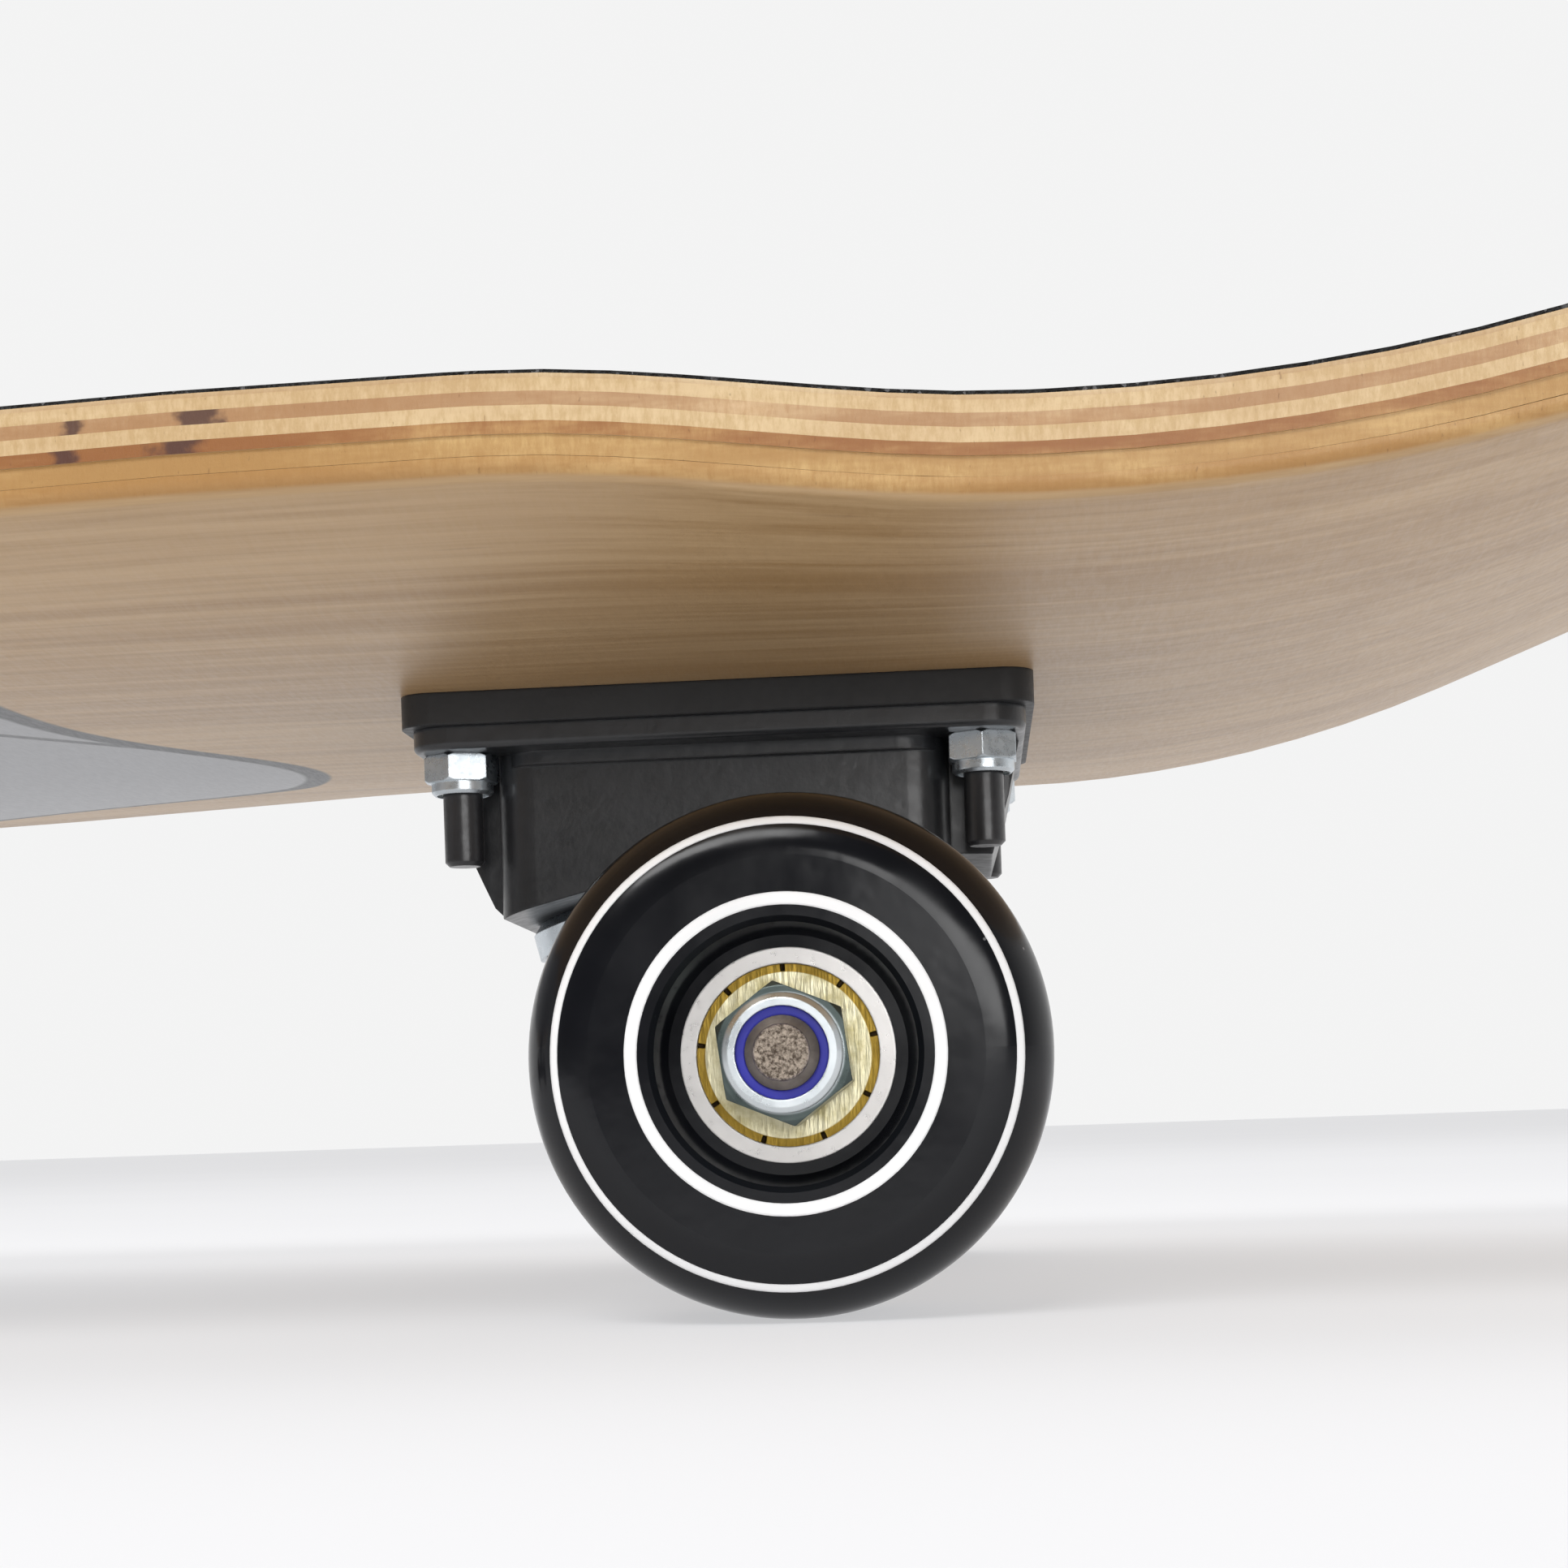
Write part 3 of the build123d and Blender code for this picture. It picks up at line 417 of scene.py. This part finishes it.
FINISHES = {
    "deck_ply_1": ply_finish("ply_underside", *LOWEST, printed=True),
    "deck_ply_2": ply_finish("ply_golden", *GOLDEN),
    "deck_ply_3": ply_finish("ply_orange", *ORANGE, knots=((160.5, 1.6), (171.5, 3.2))),
    "deck_ply_4": ply_finish("ply_cream", *CREAM),
    "deck_ply_5": ply_finish("ply_tan", *TAN, knots=((161.5, 1.2), (173.5, 3.0))),
    "deck_ply_6": ply_finish("ply_pale", *CREAM),
    "deck_ply_7": ply_finish("ply_top", *BEIGE),
    "grip_tape": grip_finish(),
    "mounting_bolts": BLACK_STEEL,
    "mounting_nuts": ZINC,
    "mounting_nut_inserts": PALE_NYLON,
    "kingpin_nut_inserts": PALE_NYLON,
}
TRUCK_FINISHES = {
    "riser_pad": RISER,
    "baseplate": PAINTED,
    "pivot_cup": RUBBER,
    "kingpin": BLACK_STEEL,
    "kingpin_nut": ZINC,
    "boardside_bushing": RUBBER,
    "roadside_bushing": RUBBER,
    "bushing_washers": ZINC,
    "hanger": PAINTED,
    "axle": axle_finish(),
    "axle_nuts": nut_finish(),
    "axle_nut_inserts": BLUE_NYLON,
    "speed_washers": ZINC,
    "bearing_spacers": BEARING_STEEL,
    "bearing_inner_rings": BEARING_STEEL,
}
WHEEL_FINISHES = {
    "wheel": wheel_finish(),
    "bearing_outer_rings": BEARING_STEEL,
    "bearing_shields": shield_finish(),
    "ball_cages": BEARING_STEEL,
}
for end in ENDS:
    for part, finish in TRUCK_FINISHES.items():
        FINISHES[f"{end}_{part}"] = finish
    for side in SIDES:
        for part, finish in WHEEL_FINISHES.items():
            FINISHES[f"{end}_{side}_{part}"] = finish

for name, material in FINISHES.items():
    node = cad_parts[name]
    node.data.materials.clear()
    node.data.materials.append(material)


# ---------------------------------------------------------------- pieces made here

def new_piece(name, bm, material, body, smooth=True):
    """A finished mesh object that rides on a body, or on none."""
    mesh = bpy.data.meshes.new(name)
    bmesh.ops.recalc_face_normals(bm, faces=bm.faces)
    for face in bm.faces:
        face.smooth = smooth
    bm.to_mesh(mesh)
    bm.free()
    mesh.materials.append(material)
    piece = bpy.data.objects.new(name, mesh)
    bpy.context.scene.collection.objects.link(piece)
    if body:
        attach(piece, body)
    return piece


def join_rows(bm, row, after):
    """A closed band of faces between two closed rows of points."""
    count = len(row)
    for n in range(count):
        turn = (n + 1) % count
        bm.faces.new((row[n], row[turn], after[turn], after[n]))


# The print on each wheel's outer face: plain rings, each given by its radius and width.
INK_HEIGHT = 0.04 * MM
INK_DEPTH = 0.12 * MM
RINGS = ((15.6 * MM, 1.3 * MM), (23.5 * MM, 0.8 * MM))
RING_STEPS = 120


def wheel_surface(reach):
    """Distance of the wheel's outer face from the board's middle, and how far it leans back there."""
    over = max(reach - WHEEL_FLAT_RADIUS, 0.0)
    return WHEEL_FACE - WHEEL_LIP + sqrt(WHEEL_LIP**2 - over**2), asin(over / WHEEL_LIP)


def on_wheel(x, z, height):
    """A point a little above the wheel's outer face, with x and z measured from the axle."""
    reach = hypot(x, z)
    face, lean = wheel_surface(reach)
    out = 1.0 + height * sin(lean) / reach
    return Vector((x * out, face + height * cos(lean), z * out))


def ink_ring(bm, radius, width):
    """A raised ring of ink that follows the wheel's face."""
    section = ((-1, -INK_DEPTH), (-1, INK_HEIGHT), (0, INK_HEIGHT),
               (1, INK_HEIGHT), (1, -INK_DEPTH), (0, -INK_DEPTH))
    rows = []
    for n in range(RING_STEPS):
        angle = 2 * pi * n / RING_STEPS
        row = []
        for share, height in section:
            reach = radius + share * width / 2
            row.append(bm.verts.new(on_wheel(reach * cos(angle), reach * sin(angle), height)))
        rows.append(row)
    for index, row in enumerate(rows):
        join_rows(bm, row, rows[(index + 1) % RING_STEPS])


def make_ornament(end, side):
    bm = bmesh.new()
    for radius, width in RINGS:
        ink_ring(bm, radius, width)
    turn = Matrix.Rotation(pi if SIDES[side] > 0 else 0.0, 4, "Z")
    mirror = Matrix.Scale(-1, 4, (0, 1, 0))
    place = Matrix.Translation((ENDS[end] * AXLE_X, 0, AXLE_Z)) @ turn @ mirror
    bmesh.ops.transform(bm, matrix=place, verts=bm.verts)
    new_piece(f"{end}_{side}_wheel_print", bm, INK, f"{end}_{side}_wheel", smooth=False)


for end in ENDS:
    for side in SIDES:
        make_ornament(end, side)


# The lowest ply, whose lower edge is rounded over.
EDGE_ROUNDING = 1.5 * MM
ROUNDING_STEPS = 6
SEAM_STEP = 0.05 * MM
SHARP_CORNER = radians(50)
TOP_RINGS = 24
TOP_RINGS_KEPT = (24, 20, 16, 12, 8, 4, 2, 1)
UNDERSIDE_RINGS = 48
MERGE_DISTANCE = 0.01 * MM
RIM_BAND = 3 * MM
RIM_GAP = 0.8 * MM
RIM_DIGITS = 5


def smooth(value, start, end):
    """Rise from 0 to 1 between start and end, with level ends."""
    part = min(max((value - start) / (end - start), 0.0), 1.0)
    return part * part * (3.0 - 2.0 * part)


def underside_height(x, y):
    """Height of the deck's underside, as in the CAD."""
    run = abs(x) - KICK_START
    bend = KICK_RADIUS * sin(KICK_ANGLE)
    kick = KICK_RADIUS - sqrt(KICK_RADIUS**2 - min(max(run, 0.0), bend) ** 2)
    kick += max(run - bend, 0.0) * tan(KICK_ANGLE)
    middle, shoulder, low = CONCAVE
    rail = middle + (shoulder - middle) * smooth(abs(x), *SHOULDER_RISE)
    rail -= (shoulder - low) * smooth(abs(x), *SHOULDER_FALL)
    across = max(abs(y) - FLAT_HALF_WIDTH, 0.0) / (DECK_HALF_WIDTH - FLAT_HALF_WIDTH)
    return DECK_UNDERSIDE + kick + rail * across**2


def way_round(point, reach):
    """Distance of a point along a track of two straights, reach each way, and two half circles."""
    x, y = point
    half_circle = pi * DECK_HALF_WIDTH
    if abs(x) <= reach:
        return reach - x if y > 0 else 2 * reach + half_circle + reach + x
    if x < 0:
        return 2 * reach + atan2(-x - reach, y) * DECK_HALF_WIDTH
    return 4 * reach + half_circle + atan2(x - reach, -y) * DECK_HALF_WIDTH


def deck_outline(node, reach):
    """The rim of a ply seen from above, in order round it, read from its CAD node."""
    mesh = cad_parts[node].data
    rim = set()
    for face in mesh.polygons:
        x, y, _ = face.center
        on_rim = abs(y) > DECK_HALF_WIDTH - RIM_BAND or abs(x) > KICK_START
        if abs(face.normal.z) < 0.5 and on_rim:
            spots = [mesh.vertices[corner].co for corner in face.vertices]
            rim.update((round(spot.x, RIM_DIGITS), round(spot.y, RIM_DIGITS)) for spot in spots)
    ordered = sorted(rim, key=lambda point: way_round(point, reach))
    spaced = [Vector(ordered[0])]
    for point in ordered[1:]:
        if (Vector(point) - spaced[-1]).length > RIM_GAP:
            spaced.append(Vector(point))
    return spaced


def make_lowest_ply():
    """The face ply under the deck, its lower edge rounded and its underside in even rings."""
    reach = cad_high.x - DECK_HALF_WIDTH
    rim = deck_outline("deck_ply_2", reach)
    count = len(rim)
    inward = []
    for index, point in enumerate(rim):
        along = (rim[(index + 1) % count] - rim[index - 1]).normalized()
        aside = Vector((-along.y, along.x))
        inward.append(aside if aside.dot(point) < 0 else -aside)

    def ring(inset, height, share=0.0):
        """A ring at a height over the underside, drawn in from the rim and then towards the spine."""
        made = []
        for point, aside in zip(rim, inward):
            spot = point + aside * inset
            spine = Vector((max(min(spot.x, reach), -reach), 0.0))
            spot = spot.lerp(spine, share)
            made.append(bm.verts.new((spot.x, spot.y, underside_height(spot.x, spot.y) + height)))
        return made

    bm = bmesh.new()
    rows = [ring(EDGE_ROUNDING, LOWEST_PLY, kept / TOP_RINGS) for kept in TOP_RINGS_KEPT]
    rows.append(ring(0.0, LOWEST_PLY))
    rows.append(ring(0.0, LOWEST_PLY - SEAM_STEP))
    for n in range(ROUNDING_STEPS + 1):
        turn = pi / 2 * n / ROUNDING_STEPS
        rows.append(ring(EDGE_ROUNDING * (1 - cos(turn)), EDGE_ROUNDING * (1 - sin(turn))))
    rows += [ring(EDGE_ROUNDING, 0.0, n / UNDERSIDE_RINGS) for n in range(1, UNDERSIDE_RINGS + 1)]
    for row, after in zip(rows, rows[1:]):
        join_rows(bm, row, after)
    bmesh.ops.remove_doubles(bm, verts=bm.verts, dist=MERGE_DISTANCE)
    bmesh.ops.dissolve_degenerate(bm, edges=bm.edges, dist=MERGE_DISTANCE)
    piece = new_piece("deck_ply_1_rounded", bm, FINISHES["deck_ply_1"], "deck")
    piece.data.set_sharp_from_angle(angle=SHARP_CORNER)
    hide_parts("deck_ply_1")


make_lowest_ply()


# Each bushing's start and finish down the kingpin from its seat, outer radius and bulge in mm, and
# whether it meets its washer, which stays with the deck, at its start.
BUSHINGS = {
    "boardside_bushing": (1.85, 16.45, 9.1, 1.6, True),
    "roadside_bushing": (23.55, 32.15, 8.1, 1.3, False),
}
BUSHING_SOFT_RIM = 0.8 * MM
BUSHING_RIM_STEP = 0.3 * BUSHING_SOFT_RIM
BUSHING_SIDE_STEPS = 10
BUSHING_BORE_STEPS = 8
BUSHING_SEGMENTS = 96


def kingpin_frame(end):
    """The place of the kingpin's seat at one end of the board, with Z down the kingpin."""
    x, z = KINGPIN_SEAT
    lean = Matrix.Rotation(pi - KINGPIN_LEAN, 4, "Y")
    turn = Matrix.Rotation(0.0 if ENDS[end] > 0 else pi, 4, "Z")
    return turn @ Matrix.Translation((x, 0, z)) @ lean


def bulged(start, end, outer, bulge):
    """A bushing's outline: a bore, and a side that swells between two softly rounded rims."""
    straight = end - start - 2 * BUSHING_SOFT_RIM
    side = []
    for n in range(BUSHING_SIDE_STEPS + 1):
        share = n / BUSHING_SIDE_STEPS
        side.append((outer + bulge * sin(pi * share), start + BUSHING_SOFT_RIM + straight * share))
    first = [(outer - BUSHING_SOFT_RIM, start), (outer - BUSHING_RIM_STEP, start + BUSHING_RIM_STEP)]
    last = [(outer - BUSHING_RIM_STEP, end - BUSHING_RIM_STEP), (outer - BUSHING_SOFT_RIM, end)]
    steps = range(BUSHING_BORE_STEPS + 1)
    bore = [(KINGPIN_RADIUS, end - (end - start) * n / BUSHING_BORE_STEPS) for n in steps]
    return first + side + last + bore


def turned_mesh(profile):
    """A closed body turned about Z from (radius, height) points."""
    bm = bmesh.new()
    angles = [2 * pi * n / BUSHING_SEGMENTS for n in range(BUSHING_SEGMENTS)]
    rings = []
    for radius, height in profile:
        rings.append([bm.verts.new((radius * cos(angle), radius * sin(angle), height)) for angle in angles])
    for index, ring in enumerate(rings):
        join_rows(bm, ring, rings[(index + 1) % len(rings)])
    return bm


def make_bushing(end, name, start, finish, outer, bulge, washer_first):
    """A rubber bushing that fills its room."""
    bm = turned_mesh(bulged(start * MM, finish * MM, outer * MM, bulge * MM))
    seat = kingpin_frame(end)
    bmesh.ops.transform(bm, matrix=seat, verts=bm.verts)
    piece = new_piece(f"{end}_{name}_rubber", bm, RUBBER, None)
    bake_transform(piece)
    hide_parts(f"{end}_{name}")


for end in ENDS:
    for name, sizes in BUSHINGS.items():
        make_bushing(end, name, *sizes)


# ---------------------------------------------------------------- floor, light and camera

FLOOR_HALF_SIZE = 30.0
FLOOR_DROP = 0.2 * MM
FLOOR_GLOW = 0.56

# The world's strength goes from the first to the second value as the direction's Y does.
WORLD_Y = (-0.75, 0.5)
WORLD_STRENGTH = (0.12, 0.9)

# Soft rectangular lights: place, size and power in watts, all turned towards the front truck.
TRUCK = (AXLE_X, -60.0 * MM, 40.0 * MM)
LIGHTS = {
    "key": ((-0.15, -0.9, 1.1), (0.9, 0.6), 13),
    "top": ((0.5, 0.5, 1.4), (1.2, 1.2), 5),
    "low_front": ((0.6, -1.2, 0.25), (0.8, 0.3), 4),
}

CAMERA_PLACE = (0.2420, -0.3385, 0.0191)
CAMERA_YAW = radians(4.1)
CAMERA_ROLL = radians(1.9)
CAMERA_LENS = 60.35
CAMERA_SHIFT_UP = 0.2226
CAMERA_NEAR = 0.01


def make_floor():
    """A pale floor that glows a little, so that the light is even from below."""
    bm = bmesh.new()
    bmesh.ops.create_grid(bm, x_segments=8, y_segments=8, size=FLOOR_HALF_SIZE)
    mesh = bpy.data.meshes.new("floor")
    bm.to_mesh(mesh)
    bm.free()
    floor = bpy.data.objects.new("floor", mesh)
    floor.location.z = -FLOOR_DROP
    bpy.context.scene.collection.objects.link(floor)
    f = Finish("pale_floor", roughness=0.9)
    f.colour(f.mix(f.noise((3, 3, 3), detail=4), paint(150, 150, 151), paint(158, 158, 159)))
    f.shader.inputs["Emission Color"].default_value = paint(244, 244, 246)
    f.shader.inputs["Emission Strength"].default_value = FLOOR_GLOW
    mesh.materials.append(f.material)


def make_world():
    """White light all round, weakest from the camera's side."""
    world = bpy.data.worlds.new("studio")
    bpy.context.scene.world = world
    world.use_nodes = True
    tree = world.node_tree
    backdrop = tree.nodes["Background"]
    way = tree.nodes.new("ShaderNodeTexCoord")
    parts = tree.nodes.new("ShaderNodeSeparateXYZ")
    ramp = tree.nodes.new("ShaderNodeMapRange")
    ramp.interpolation_type = "SMOOTHSTEP"
    ramp.inputs["From Min"].default_value, ramp.inputs["From Max"].default_value = WORLD_Y
    ramp.inputs["To Min"].default_value, ramp.inputs["To Max"].default_value = WORLD_STRENGTH
    tree.links.new(way.outputs["Generated"], parts.inputs[0])
    tree.links.new(parts.outputs[1], ramp.inputs["Value"])
    backdrop.inputs["Color"].default_value = (1.0, 1.0, 1.0, 1.0)
    tree.links.new(ramp.outputs[0], backdrop.inputs["Strength"])


def make_light(name, place, size, power):
    data = bpy.data.lights.new(name, "AREA")
    data.shape = "RECTANGLE"
    data.size, data.size_y = size
    data.energy = power
    light = bpy.data.objects.new(name, data)
    light.location = place
    light.rotation_euler = (Vector(TRUCK) - Vector(place)).to_track_quat("-Z", "Y").to_euler()
    bpy.context.scene.collection.objects.link(light)


def make_camera():
    """The camera, low beside the front wheel. It looks level, turned and rolled a little."""
    camera = bpy.data.objects.new("camera", bpy.data.cameras.new("camera"))
    bpy.context.scene.collection.objects.link(camera)
    ahead = Vector((-sin(CAMERA_YAW), cos(CAMERA_YAW), 0))
    right = Vector((cos(CAMERA_YAW), sin(CAMERA_YAW), 0))
    up = Vector((0, 0, 1))
    rolled_right = right * cos(CAMERA_ROLL) - up * sin(CAMERA_ROLL)
    rolled_up = right * sin(CAMERA_ROLL) + up * cos(CAMERA_ROLL)
    turned = Matrix((rolled_right, rolled_up, -ahead)).transposed().to_4x4()
    camera.matrix_world = Matrix.Translation(CAMERA_PLACE) @ turned
    camera.data.lens = CAMERA_LENS
    camera.data.shift_y = CAMERA_SHIFT_UP
    camera.data.clip_start = CAMERA_NEAR
    bpy.context.scene.camera = camera


make_floor()
make_world()
for name, settings in LIGHTS.items():
    make_light(name, *settings)
make_camera()
bpy.context.scene.view_settings.view_transform = "Standard"
